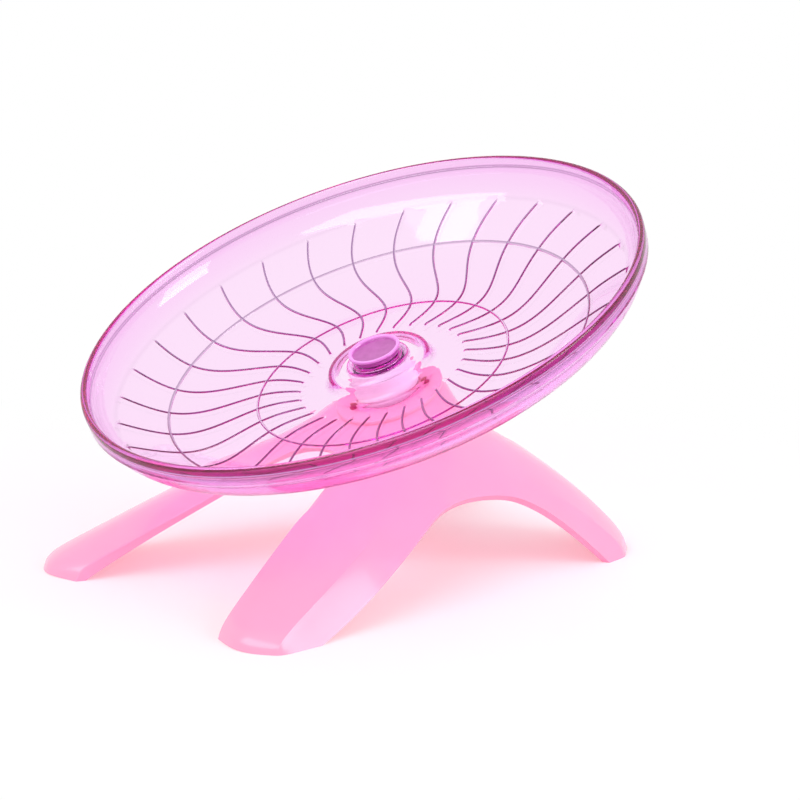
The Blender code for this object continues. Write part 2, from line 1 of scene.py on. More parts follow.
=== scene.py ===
# %% [markdown]
# # A clear running disc on a pink four-legged stand
# A small pet runs in a shallow, see-through dish that leans over and spins on a ball bearing.
# This first cell loads the working parts as a fixed frame. Every piece made below is finer than
# the part it covers, stays in the same place, and rides with the same moving body.

# %% Load the frame
import math

import bmesh
import bpy
from mathutils import Matrix, Vector
from mathutils.geometry import interpolate_bezier


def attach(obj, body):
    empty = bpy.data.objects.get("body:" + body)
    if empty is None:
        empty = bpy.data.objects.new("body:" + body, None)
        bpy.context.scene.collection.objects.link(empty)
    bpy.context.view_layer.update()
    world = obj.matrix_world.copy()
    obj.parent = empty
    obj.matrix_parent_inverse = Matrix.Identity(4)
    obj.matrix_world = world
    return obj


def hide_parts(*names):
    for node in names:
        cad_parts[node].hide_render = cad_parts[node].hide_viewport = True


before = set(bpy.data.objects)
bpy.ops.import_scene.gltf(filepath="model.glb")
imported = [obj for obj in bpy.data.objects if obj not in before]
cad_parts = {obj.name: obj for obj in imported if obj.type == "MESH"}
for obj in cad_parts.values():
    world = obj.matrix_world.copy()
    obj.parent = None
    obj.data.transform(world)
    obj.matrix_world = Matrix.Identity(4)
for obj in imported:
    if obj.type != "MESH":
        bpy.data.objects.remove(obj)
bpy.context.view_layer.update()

# %% [markdown]
# ## The tilted axis
# Everything round on this object shares one axis, which leans 24 degrees towards the front.
# Pieces are turned about a plain upright Z axis, because a profile is easy to think about there,
# and one matrix then lays them on the leaning axis. Its origin is the top of the dish's flat floor.

# %% Sizes and the hub's axis
TILT = math.radians(24.0)
HUB_HEIGHT = 0.0505
HUB_Y = 0.013522
PLATFORM_DROP = 0.0084
SEAT_GAP = 0.0003
FLOOR_Y = HUB_Y - PLATFORM_DROP * math.sin(TILT)
FLOOR_Z = HUB_HEIGHT + PLATFORM_DROP * math.cos(TILT)
HUB_AXIS = Matrix.Translation((0.0, FLOOR_Y, FLOOR_Z)) @ Matrix.Rotation(TILT, 4, "X")
print("hub axis passes through", [round(v, 4) for v in HUB_AXIS.translation])

# %% [markdown]
# ## The camera
# The photograph was taken from the right and slightly above. The camera stands at that angle and
# at that distance, and a small lens shift frames the object as the photograph does. Light may
# bounce 64 times: inside clear plastic it is reflected again and again, and a path that is cut
# short shows as a black line.

# %% Camera
VIEW_RIGHT = Vector((0.6411, 0.7674, 0.0))
VIEW_UP = Vector((-0.1689, 0.1411, 0.9754))
VIEW_BACK = Vector((0.7486, -0.6254, 0.2201))
VIEW_PLACE = (0.5662, -0.4906, 0.2265)
BOUNCES = 64
camera_data = bpy.data.cameras.new("photo_camera")
camera_data.lens = 112.4
camera_data.sensor_width = 36.0
camera_data.shift_x = 0.1086
camera_data.shift_y = -0.0279
camera_data.clip_start = 0.01
camera = bpy.data.objects.new("photo_camera", camera_data)
turn = Matrix((VIEW_RIGHT, VIEW_UP, VIEW_BACK)).transposed().to_4x4()
camera.matrix_world = Matrix.Translation(VIEW_PLACE) @ turn
bpy.context.scene.collection.objects.link(camera)
bpy.context.scene.camera = camera
bpy.context.scene.view_settings.view_transform = "Standard"
bpy.context.scene.cycles.max_bounces = BOUNCES
bpy.context.scene.cycles.glossy_bounces = BOUNCES
bpy.context.scene.cycles.transmission_bounces = BOUNCES
print("camera distance:", round((camera.location - HUB_AXIS.translation).length, 3), "m")

# %% [markdown]
# ## Arithmetic with sockets
# A finish is a small sum: a base colour, plus a little noise, times a mask. Written as a sum in
# Python it is much easier to read than a list of nodes and links, so this class lets a socket be
# added, multiplied and so on, and each operation adds its Math node behind the scenes.

# %% Socket arithmetic
class Wire:
    """An output socket that can be used in a sum."""

    def __init__(self, finish, socket):
        self.finish = finish
        self.socket = socket

    def math(self, operation, first, second):
        return self.finish.node("ShaderNodeMath", {"operation": operation}, {0: first, 1: second})

    def __add__(self, other):
        return self.math("ADD", self, other)

    def __sub__(self, other):
        return self.math("SUBTRACT", self, other)

    def __rsub__(self, other):
        return self.math("SUBTRACT", other, self)

    def __mul__(self, other):
        return self.math("MULTIPLY", self, other)

    __radd__ = __add__
    __rmul__ = __mul__


print("sockets can be added, subtracted and multiplied")

# %% [markdown]
# ## One method for all nodes
# Every node of every finish comes from one method. It takes the node's type, its settings, and
# the values or links of its sockets. The short methods below it name the few things that the
# finishes need again and again, such as noise, a blend of two colours, or the kind of a ray.

# %% Node trees
class Finish:
    """A node tree, and the one method that adds a node to it."""

    def __init__(self, owner):
        owner.use_nodes = True
        self.owner = owner
        self.tree = owner.node_tree
        self.tree.nodes.clear()

    def node(self, kind, settings=None, values=None, output=0):
        made = self.tree.nodes.new(kind)
        for name, value in (settings or {}).items():
            setattr(made, name, value)
        for name, value in (values or {}).items():
            if isinstance(value, Wire):
                self.tree.links.new(value.socket, made.inputs[name])
            else:
                made.inputs[name].default_value = value
        return Wire(self, made.outputs[output]) if made.outputs else made

    def place(self):
        return self.node("ShaderNodeTexCoord", output="Object")

    def upright(self):
        """Object coordinates laid back upright, so that Z runs along the leaning axis."""
        return self.node("ShaderNodeMapping", {"vector_type": "TEXTURE"}, {
            "Vector": self.place(),
            "Location": tuple(HUB_AXIS.translation),
            "Rotation": (TILT, 0.0, 0.0),
        })

    def mark(self, name):
        """A value painted on the points of the mesh."""
        return self.node("ShaderNodeAttribute", {"attribute_name": name}, output="Fac")

    def ray(self, name):
        """1 for rays of one kind, and 0 for all others."""
        return self.node("ShaderNodeLightPath", output=name)

    def in_sight(self):
        """1 for rays of sight, straight, mirrored or through clear plastic, and 0 for others."""
        looks = self.ray("Is Camera Ray") + self.ray("Is Glossy Ray")
        looks = looks + self.ray("Is Transmission Ray")
        return looks.math("MINIMUM", looks, 1.0)

    def rise(self, value, start, end, low=0.0, high=1.0):
        """A smooth rise from low to high while the value goes from start to end."""
        return self.node("ShaderNodeMapRange", {"interpolation_type": "SMOOTHSTEP"}, {
            "Value": value, "From Min": start, "From Max": end, "To Min": low, "To Max": high})

    def length(self, vector):
        return self.node("ShaderNodeVectorMath", {"operation": "LENGTH"}, {0: vector}, "Value")

    def noise(self, scale, detail=2.0):
        values = {"Vector": self.place(), "Scale": scale, "Detail": detail}
        return self.node("ShaderNodeTexNoise", values=values)

    def blend(self, share, first, second):
        """A colour between two colours; a Mix node has its colours at inputs 6 and 7."""
        return self.node("ShaderNodeMix", {"data_type": "RGBA"}, {0: share, 6: first, 7: second}, 2)

    def mix(self, share, first, second):
        return self.node("ShaderNodeMixShader", values={0: share, 1: first, 2: second})

    def bump(self, height, strength, distance):
        values = {"Height": height, "Strength": strength, "Distance": distance}
        return self.node("ShaderNodeBump", values=values)

    def finish_with(self, surface, target="ShaderNodeOutputMaterial", **others):
        self.node(target, values={"Surface": surface, **others})
        return self.owner


def colour(red, green, blue):
    return (red, green, blue, 1.0)


print("node trees are ready")

# %% [markdown]
# ## Stand plastic
# The stand is one opaque pink moulding with a high gloss. Real mouldings are never perfectly
# even: the gloss and the pink vary a little, and the surface has a faint orange-peel wave. Noise
# at two sizes gives that without any picture file. Strong light also glows through the thin
# wall, so shadow rays pass it as through a pink filter, and the shadow on the floor turns pink.

# %% Pink stand plastic
def pink_plastic():
    finish = Finish(bpy.data.materials.new("pink_shell_finish"))
    clouds = finish.noise(34.0)
    wave = finish.noise(70.0)
    base = finish.blend(clouds, colour(0.98, 0.335, 0.545), colour(1.0, 0.395, 0.60))
    shader = finish.node("ShaderNodeBsdfPrincipled", values={
        "Base Color": base,
        "Roughness": 0.20 + clouds * 0.06,
        "IOR": 1.49,
        "Coat Weight": 0.35,
        "Coat Roughness": 0.12,
        "Normal": finish.bump(wave, 0.05, 0.0003),
    })
    glow = finish.node("ShaderNodeBsdfTransparent", values={"Color": colour(0.90, 0.30, 0.38)})
    return finish.finish_with(finish.mix(finish.ray("Is Shadow Ray"), shader, glow))


pink_finish = pink_plastic()
print("made", pink_finish.name)

# %% [markdown]
# ## Clear dish plastic
# The dish is see-through with a light pink dye in it. Dye works by depth: two millimetres look pale,
# while the steep wall, seen along its length, turns deep pink. A Volume Absorption gives exactly
# that. Three attributes of the mesh also add painted shade to the surface's tint: dark lines along
# the ribs, a deeper pink on the steep wall, and a dark magenta band on the lip's outer face. They
# paint the dark lines and deep colour that light bent and guided inside the clear plastic shows
# there. The lip's band is painted only where it is seen from outside, so that attribute is multiplied
# by 1 minus Backfacing. Shadow rays pass through as through a tinted filter, because light really
# does reach the stand and floor.

# %% Clear dish plastic
def clear_plastic():
    finish = Finish(bpy.data.materials.new("clear_dish_finish"))
    haze = finish.noise(60.0)
    scuffs = finish.noise(1500.0, 3.0)
    outside = 1.0 - finish.node("ShaderNodeNewGeometry", output="Backfacing")
    # Painted shade: the wall, lip and rib attributes blend the tint towards deeper pink, dark magenta
    # and dark violet, where bent and guided light darkens the clear plastic.
    tint = finish.blend(finish.mark("wall"), colour(1.0, 1.0, 1.0), colour(0.985, 0.82, 0.975))
    tint = finish.blend(finish.mark("lip") * outside, tint, colour(0.26, 0.0, 0.085))
    tint = finish.blend(finish.mark("rib"), tint, colour(0.10, 0.03, 0.14))
    shader = finish.node("ShaderNodeBsdfPrincipled", values={
        "Base Color": tint,
        "Roughness": 0.015 + haze * 0.02 + scuffs * 0.02,
        "IOR": 1.49,
        "Transmission Weight": 1.0,
        "Normal": finish.bump(haze, 0.05, 0.0003),
    })
    light = finish.node("ShaderNodeBsdfTransparent", values={"Color": colour(0.99, 0.95, 0.98)})
    dye_values = {"Color": colour(0.945, 0.03, 0.87), "Density": 125.0}
    dye = finish.node("ShaderNodeVolumeAbsorption", values=dye_values)
    surface = finish.mix(finish.ray("Is Shadow Ray"), shader, light)
    return finish.finish_with(surface, Volume=dye)


clear_finish = clear_plastic()
print("made", clear_finish.name)

# %% [markdown]
# ## Collar, cap and pins
# The collar is satin white plastic. Two small pins in the platform are dark crimson, which is painted
# shade: they stand where two small holes show their shade. The cap is opaque and a much deeper
# magenta than the dish, with a painted highlight that makes the ring round its top paler. It leans
# with the hub, so a Mapping node turns the coordinates back upright before the distance from the axis
# and the height along it are measured.

# %% White, magenta and crimson finishes
# Where the cap's painted highlight lies: the paler ring round its top.
CAP_HIGHLIGHT_RADII, CAP_HIGHLIGHT_HEIGHTS = (0.0068, 0.0072), (0.0072, 0.0077)


def white_plastic():
    finish = Finish(bpy.data.materials.new("white_collar_finish"))
    clouds = finish.noise(120.0)
    grain = finish.noise(2200.0, 3.0)
    shader = finish.node("ShaderNodeBsdfPrincipled", values={
        "Base Color": finish.blend(clouds, colour(0.94, 0.92, 0.94), colour(0.98, 0.96, 0.98)),
        "Roughness": 0.34 + grain * 0.1,
        "IOR": 1.49,
        "Normal": finish.bump(grain, 0.08, 0.0002),
    })
    return finish.finish_with(shader)


def magenta_plastic():
    """Deep magenta, with a painted highlight that makes the ring round the top of the cap paler."""
    finish = Finish(bpy.data.materials.new("magenta_cap_finish"))
    clouds = finish.noise(420.0)
    body = finish.blend(clouds, colour(0.42, 0.03, 0.33), colour(0.62, 0.10, 0.52))
    flat = finish.node("ShaderNodeVectorMath", {"operation": "MULTIPLY"}, {
        0: finish.upright(), 1: (1.0, 1.0, 0.0)})
    height = finish.node("ShaderNodeSeparateXYZ", values={0: finish.upright()}, output="Z")
    rim = finish.rise(finish.length(flat), *CAP_HIGHLIGHT_RADII) * finish.rise(height, *CAP_HIGHLIGHT_HEIGHTS)
    grain = finish.noise(1800.0, 3.0)
    shader = finish.node("ShaderNodeBsdfPrincipled", values={
        # Painted highlight: the ring round the top is blended to pale pink.
        "Base Color": finish.blend(rim, body, colour(0.95, 0.33, 0.90)),
        "Roughness": 0.12 + grain * 0.06,
        "IOR": 1.49,
        "Coat Weight": 0.4,
        "Coat Roughness": 0.05,
        "Normal": finish.bump(clouds, 0.06, 0.0003),
    })
    return finish.finish_with(shader)


# Painted shade: dark crimson for the two pins that stand where two small holes show their shade.
def crimson_plastic():
    finish = Finish(bpy.data.materials.new("hole_shade_pin_finish"))
    clouds = finish.noise(900.0)
    shader = finish.node("ShaderNodeBsdfPrincipled", values={
        "Base Color": finish.blend(clouds, colour(0.42, 0.006, 0.07), colour(0.58, 0.012, 0.11)),
        "Roughness": 0.3 + clouds * 0.1,
        "IOR": 1.49,
    })
    return finish.finish_with(shader)


white_finish = white_plastic()
crimson_finish = crimson_plastic()
magenta_finish = magenta_plastic()
print("made", white_finish.name, crimson_finish.name, magenta_finish.name)

# %% [markdown]
# ## Metals
# The bearing, the washer and the screw are turned metal, which shows fine rings round its own
# axis. The pattern uses the same upright coordinates as the cap, so that its rings run round the
# leaning axis. Noise in the colour and the gloss stands for grease and wear.

# %% Metal finishes
METAL_LOOKS = {
    "bearing_steel_finish": (colour(0.55, 0.56, 0.58), colour(0.68, 0.69, 0.71), 0.16),
    "cage_brass_finish": (colour(0.62, 0.45, 0.20), colour(0.78, 0.60, 0.30), 0.24),
    "fastener_steel_finish": (colour(0.58, 0.58, 0.57), colour(0.72, 0.72, 0.70), 0.26),
}


def turned_metal(name, dark, light, roughness):
    finish = Finish(bpy.data.materials.new(name))
    settings = {"wave_type": "RINGS", "rings_direction": "Z"}
    values = {"Vector": finish.upright(), "Scale": 1400.0, "Distortion": 1.2, "Detail": 2.0}
    rings = finish.node("ShaderNodeTexWave", settings, values, "Fac")
    grime = finish.noise(700.0, 3.0)
    shader = finish.node("ShaderNodeBsdfPrincipled", values={
        "Base Color": finish.blend(grime, dark, light),
        "Metallic": 1.0,
        "Roughness": roughness + rings * 0.08 + grime * 0.08,
        "Normal": finish.bump(rings, 0.08, 0.0001),
    })
    return finish.finish_with(shader)


steel_finish, brass_finish, zinc_finish = [
    turned_metal(name, *look) for name, look in METAL_LOOKS.items()]
print("made", *METAL_LOOKS)

# %% [markdown]
# ## Turning a profile
# A lathe makes round things from a profile, and so does bmesh's spin. The helpers below draw an
# arc, round the corners of an outline, and spin it once round the Z axis. Doubles are merged
# first and the normals recalculated after that, because a spun skin can come out inside out.

# %% Turning helpers
def arc(centre, radius, start, end, count):
    """Points on an arc, with angles counted from straight down towards +X."""
    angles = [start + (end - start) * i / count for i in range(count + 1)]
    return [(centre[0] + radius * math.sin(a), centre[1] - radius * math.cos(a)) for a in angles]


def rounded(corners, radius, count=4):
    """The same open outline with each inner corner rounded off."""
    points = [corners[0]]
    for before, corner, after in zip(corners, corners[1:], corners[2:]):
        here = Vector(corner)
        first = Vector(before) - here
        second = Vector(after) - here
        cut = min(radius, first.length * 0.45, second.length * 0.45)
        start = here + first.normalized() * cut
        end = here + second.normalized() * cut
        for i in range(count + 1):
            share = i / count
            point = start * (1 - share) ** 2 + here * 2 * share * (1 - share) + end * share**2
            points.append(tuple(point))
    points.append(corners[-1])
    return points


def spun(outline, steps, closed=False):
    """A bmesh turned once round Z from an outline of (radius, height) points."""
    shape = bmesh.new()
    corners = [shape.verts.new((radius, 0.0, height)) for radius, height in outline]
    for pair in zip(corners, corners[1:]):
        shape.edges.new(pair)
    if closed:
        shape.edges.new((corners[-1], corners[0]))
    geom = list(shape.verts) + list(shape.edges)
    bmesh.ops.spin(shape, geom=geom, cent=(0, 0, 0), axis=(0, 0, 1), dvec=(0, 0, 0),
                   angle=2 * math.pi, steps=steps, use_merge=True, use_duplicate=False)
    bmesh.ops.remove_doubles(shape, verts=shape.verts, dist=0.000002)
    bmesh.ops.recalc_face_normals(shape, faces=shape.faces)
    return shape


print("turning helpers are ready")

# %% [markdown]
# ## From shape to piece
# A shape is made upright, laid on the leaning axis if it belongs to the hub, and then becomes an
# object. Each finished piece is shaded smooth but for its sharp edges, gets its material, and is tied
# to the moving body that it rides with.

# %% Piece helpers
def linked(name, shape):
    """Turn a bmesh into an object of the scene, with its place in its mesh."""
    mesh = bpy.data.meshes.new(name)
    shape.to_mesh(mesh)
    shape.free()
    made = bpy.data.objects.new(name, mesh)
    bpy.context.scene.collection.objects.link(made)
    return made


def finished(name, shape, material, body, sharp=35.0):
    """Turn a bmesh into a finished piece that rides on a body."""
    piece = linked(name, shape)
    piece.data.shade_smooth()
    piece.data.set_sharp_from_angle(angle=math.radians(sharp))
    piece.data.materials.append(material)
    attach(piece, body)
    print(name, "has", len(piece.data.polygons), "faces")
    return piece


def tilted(shape):
    """Lay a shape that was made about an upright Z axis on the leaning axis."""
    bmesh.ops.transform(shape, matrix=HUB_AXIS, verts=shape.verts)
    return shape


print("piece helpers are ready")

# %% [markdown]
# ## The dish's sizes
# The dish has a flat floor, a wide arc, a slope, a tight bend and a steep wall with a thick rolled
# lip. In the middle a boss rises over the bearing. Radii run outwards from the axis, and heights run
# up from the floor of the dish, all in metres. BEAD is the round section of a rib from side to side,
# LIP_LINE is a hairline bead inside the lip, and a table of depths below the lip's top says how dark
# the painted shade on the lip's outer face is at each of them.

# %% Sizes of the dish
WALL = 0.002
FLOOR_RADIUS = 0.042
SWEEP_RADIUS = 0.058
SWEEP_ANGLE = math.radians(29.0)
RIB_INNER, RIB_OUTER = 0.027, 0.0814
RIB_HALF, RIB_RISE, RIB_SWING = 0.00042, 0.0004, 0.0039
RIB_START_STEPS, RIB_END_STEPS = (-0.0007, -0.0003, 0.0, 0.0006), (-0.0009, -0.0004)
SURFACE_STEPS, RING_CLEARANCE = 34, 0.0003
BEND_RADIUS = 0.0124
WALL_ANGLE = math.radians(80.0)
DISH_RADIUS, DISH_DEPTH = 0.090, 0.026
LIP_ROUND, LIP_HEIGHT, LIP_STEP, LIP_FACE = 0.0011, 0.006, 0.0006, 0.0025
BOSS_RADIUS, BOSS_HEIGHT, BOSS_ROOF = 0.0164, 0.0055, 0.0016
BOSS_ROUND, BOSS_FILLET = 0.0028, 0.0027
POCKET_RADIUS, POCKET_FLOOR, POCKET_RIM, POCKET_ROUND = 0.006, 0.0043, 0.002, 0.0002
BEARING_BORE, BEARING_RADIUS, BEARING_TOP = 0.0025, 0.008, 0.0025
PLATE_BOTTOM, PLATE_OUTER, PLATE_INNER = 0.0031, 0.0097, 0.0041
PLATE_INSET, PLATE_ROUND = 0.0006, 0.0003
GROOVE_OUTER, GROOVE_INNER = 0.0079, 0.007
FLAT_ABOVE, FLAT_BELOW = (0.0218, 0.0245), (0.034, 0.0255)
SLOPE_START = FLOOR_RADIUS + SWEEP_RADIUS * math.sin(SWEEP_ANGLE)
SLOPE_HEIGHT = SWEEP_RADIUS * (1.0 - math.cos(SWEEP_ANGLE))
BEND_HEIGHT = SLOPE_HEIGHT + (RIB_OUTER - SLOPE_START) * math.tan(SWEEP_ANGLE)
BEND_CENTRE = (
    RIB_OUTER - BEND_RADIUS * math.sin(SWEEP_ANGLE),
    BEND_HEIGHT + BEND_RADIUS * math.cos(SWEEP_ANGLE),
)
RING_RIBS = [RIB_INNER + share * (RIB_OUTER - RIB_INNER) for share in (0.25, 0.75)]
BEAD = [(-1.0, 0.0), (-0.75, 0.62), (-0.35, 0.93), (0.0, 1.0),
        (0.35, 0.93), (0.75, 0.62), (1.0, 0.0)]
# Painted shade: how dark the band on the lip's outer face is, by depth below its top.
LIP_SHADE_BAND = {0.0022: 1.0, 0.00235: 0.0, 0.0026: 0.0, 0.00275: 0.9, 0.0029: 0.9, 0.00305: 0.0}
LIP_LINE = [(0.00002, 0.0002), (-0.0001, 0.0003), (-0.0002, 0.00045),
            (-0.0001, 0.0006), (0.00003, 0.0007)]
print("the slope meets the wall's bend at a height of", round(BEND_HEIGHT, 4), "m")

# %% [markdown]
# ## The dish's outline
# The outline walks outwards along the top, round the lip, and back inwards along the underside.
# It has extra points where the grip ribs start and end, so that they can be rounded off there,
# and a dense row of points across each of the two ring ribs.

# %% Outline of the dish
def surface_height(radius):
    """Height of the running surface, without its ribs, inside the wall's bend."""
    if radius <= FLOOR_RADIUS:
        return 0.0
    if radius <= SLOPE_START:
        return SWEEP_RADIUS - math.sqrt(SWEEP_RADIUS**2 - (radius - FLOOR_RADIUS) ** 2)
    return SLOPE_HEIGHT + (radius - SLOPE_START) * math.tan(SWEEP_ANGLE)


def running_surface():
    """Outline points between the boss and the wall, with the two ring ribs as round beads."""
    radii = [RIB_INNER + step for step in RIB_START_STEPS]
    radii += [RIB_OUTER + step for step in RIB_END_STEPS]
    reach = RIB_OUTER - RIB_INNER
    radii += [RIB_INNER + reach * i / SURFACE_STEPS for i in range(1, SURFACE_STEPS)]
    points = []
    for ring in RING_RIBS:
        for across, rise in BEAD:
            radius = ring + across * RIB_HALF
            points.append((radius, surface_height(radius) + rise * RIB_RISE))
    for radius in radii:
        if all(abs(radius - ring) > RIB_HALF + RING_CLEARANCE for ring in RING_RIBS):
            points.append((radius, surface_height(radius)))
    return sorted(points)


def dish_outline():
    shoulder = (BOSS_RADIUS - BOSS_ROUND, BOSS_HEIGHT - BOSS_ROUND)
    foot = (BOSS_RADIUS + BOSS_FILLET, BOSS_FILLET)
    rim = (DISH_RADIUS - LIP_ROUND, DISH_DEPTH - LIP_ROUND)
    under_lip = DISH_DEPTH - LIP_HEIGHT
    under_bend = BEND_RADIUS + WALL
    lip_angle = math.acos((BEND_CENTRE[1] - under_lip + LIP_STEP) / under_bend)
    roof = BOSS_HEIGHT - BOSS_ROOF
    bore = BEARING_BORE + SEAT_GAP
    pocket = [(bore, POCKET_FLOOR), (POCKET_RADIUS, POCKET_FLOOR), (POCKET_RADIUS, BOSS_HEIGHT),
              (POCKET_RADIUS + POCKET_RIM, BOSS_HEIGHT)]
    lip_foot = [(DISH_RADIUS, under_lip + LIP_FACE), (DISH_RADIUS, under_lip + LIP_STEP),
                (DISH_RADIUS - LIP_STEP, under_lip)]
    plate = [(shoulder[0] - PLATE_INSET, roof), (PLATE_OUTER, roof), (PLATE_OUTER, PLATE_BOTTOM),
             (GROOVE_OUTER, PLATE_BOTTOM), (GROOVE_OUTER, roof), (GROOVE_INNER, roof),
             (GROOVE_INNER, PLATE_BOTTOM), (PLATE_INNER, PLATE_BOTTOM)]
    points = rounded(pocket, POCKET_ROUND, 3)
    points += arc(shoulder, BOSS_ROUND, math.pi, math.pi / 2, 6)
    points += arc(foot, BOSS_FILLET, -math.pi / 2, 0.0, 8)
    points += [(radius, 0.0) for radius in FLAT_ABOVE]
    points += running_surface()
    points += arc(BEND_CENTRE, BEND_RADIUS, SWEEP_ANGLE, WALL_ANGLE, 10)
    foot_of_lip = points[-1]
    points += [(foot_of_lip[0] + x, foot_of_lip[1] + z) for x, z in LIP_LINE]
    points += arc(rim, LIP_ROUND, 1.5 * math.pi, math.pi / 2, 8)
    points += [(DISH_RADIUS, DISH_DEPTH - drop) for drop in LIP_SHADE_BAND]
    points += rounded(lip_foot, LIP_STEP, 3)
    points += arc(BEND_CENTRE, under_bend, lip_angle, SWEEP_ANGLE, 10)
    points += arc((FLOOR_RADIUS, SWEEP_RADIUS), SWEEP_RADIUS + WALL, SWEEP_ANGLE, 0.0, 14)
    points += [(radius, -WALL) for radius in FLAT_BELOW]
    points += arc(foot, BOSS_FILLET + WALL, 0.0, -math.pi / 2, 8)
    points += arc(shoulder, BOSS_ROUND - WALL, math.pi / 2, math.pi, 4)
    points += rounded(plate, PLATE_ROUND, 2)
    points += [(PLATE_INNER, BEARING_TOP + SEAT_GAP), (bore, BEARING_TOP + SEAT_GAP)]
    return points


outline = dish_outline()
reach = max(radius for radius, _ in outline)
print("the dish's outline has", len(outline), "points and reaches", round(reach, 4), "m")

# %% [markdown]
# ## Thirty curved grip ribs
# Thin ribs snake outwards over the running surface so that small feet find a hold. They could be
# thirty loose beads, but loose beads inside clear plastic show a false seam. So the columns of
# the spun dish are bunched at each rib, bent along its wave, and the middle ones are lifted:
# dish and ribs stay one skin, as in the mould.

# %% Columns of the ribs
RIB_COUNT = 30
BETWEEN = (0.25, 0.5, 0.75)
PER_RIB = len(BEAD) + len(BETWEEN)
FIRST_RIB = math.radians(7.6)
WIDEST_RIB = 0.2
START_FADE, END_FADE, FADE_LENGTH = 0.0004, 0.0002, 0.0008


def clamped(value):
    return min(max(value, 0.0), 1.0)


def rib_column(column, radius):
    """Angle of a column at a radius, and how high a rib stands on it (0 to 1)."""
    rib, place = divmod(column, PER_RIB)
    pitch = 2 * math.pi / RIB_COUNT
    half = min(RIB_HALF / radius, pitch * WIDEST_RIB)
    share = clamped((radius - RIB_INNER) / (RIB_OUTER - RIB_INNER))
    swing = RIB_SWING / max(radius, RIB_INNER) * math.sin(2 * math.pi * share)
    start = FIRST_RIB + rib * pitch - swing
    if place < len(BEAD):
        return start + BEAD[place][0] * half, BEAD[place][1]
    return start + half + (pitch - 2 * half) * BETWEEN[place - len(BEAD)], 0.0


def end_fade(radius):
    """1 along a rib, falling to 0 over its two rounded ends."""
    inside = min(radius - RIB_INNER + START_FADE, RIB_OUTER + END_FADE - radius)
    return math.sqrt(clamped(inside / FADE_LENGTH))


print("each rib takes", PER_RIB, "columns of the spun dish")

# %% [markdown]
# ## Dish and ribs in one skin
# Here the outline is spun, and each point is moved to its column and lifted where a rib stands.
# An attribute remembers how high each point was lifted, which the dish's finish uses to paint a dark
# line of shade along each rib, where the bent light of a clear rib shows dark. The two ring ribs and
# the line inside the lip get a share of that painted shade, and two more attributes paint a deeper
# tint on the steep wall and a dark band on the lip's outer face.

# %% Dish with its ribs
WALL_SPAN = DISH_RADIUS - LIP_ROUND - RIB_OUTER
LIP_FADE, LIP_SHOULDER, LIP_NEAR = 0.0007, 0.0012, 0.0006
SURFACE_NEAR, LINE_NEAR = 0.001, 0.0002
# Painted shade: how dark the line inside the lip and the two ring ribs are painted.
LINE_SHADE, OUTER_RING_SHADE, INNER_RING_SHADE = 0.7, 0.8, 0.3


def lip_shade(drop):
    """How dark the painted shade on the lip's outer face is at a depth below its top: its rounded
    edge fades in.
    """
    if drop < LIP_SHOULDER:
        return clamped(drop / LIP_FADE)
    return LIP_SHADE_BAND.get(round(drop, 5), 0.0)


def ribbed_dish():
    columns = RIB_COUNT * PER_RIB
    shape = spun(outline, columns, closed=True)
    # The rib, wall and lip attributes carry painted shade for the dish's finish.
    rib, wall, lip = [shape.verts.layers.float.new(name) for name in ("rib", "wall", "lip")]
    line_height = BEND_CENTRE[1] - BEND_RADIUS * math.cos(WALL_ANGLE) + LIP_LINE[2][1]
    for vert in shape.verts:
        radius = math.hypot(vert.co.x, vert.co.y)
        column = round(math.atan2(vert.co.y, vert.co.x) / (2 * math.pi) * columns) % columns
        angle, lift = rib_column(column, radius)
        vert.co.x = radius * math.cos(angle)
        vert.co.y = radius * math.sin(angle)
        vert[wall] = clamped((radius - RIB_OUTER) / WALL_SPAN)
        if radius > DISH_RADIUS - LIP_NEAR:
            vert[lip] = lip_shade(DISH_DEPTH - vert.co.z)
        if radius > RIB_OUTER and abs(vert.co.z - line_height) < LINE_NEAR:
            vert[rib] = LINE_SHADE
        ribbed = RIB_INNER - SURFACE_NEAR < radius < RIB_OUTER + SURFACE_NEAR
        surface = surface_height(radius)
        if ribbed and abs(vert.co.z - surface) < SURFACE_NEAR:
            ring = (vert.co.z - surface) / RIB_RISE
            ring_shade = OUTER_RING_SHADE if radius > FLOOR_RADIUS else INNER_RING_SHADE
            lift *= end_fade(radius)
            vert.co.z = surface + max(ring, lift) * RIB_RISE
            vert[rib] = max(ring_shade * ring, lift)
    return tilted(shape)


dish_shape = ribbed_dish()
dish = finished("clear_running_dish", dish_shape, clear_finish, "running_disc", 40.0)
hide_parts("running_dish")

# %% [markdown]
# ## The stand's legs
# Four legs arch out of one crown. Each leg is a hollow channel, so five rails describe it: the
# edge of the arch, the crease above it, the crown of the leg, and the same on its other side. The
# rails are smooth curves; neighbouring rails are bridged into strips, one half is mirrored, and a
# Subdivision Surface rounds the cage. Solidify then gives the wall, and a plane cuts the feet.

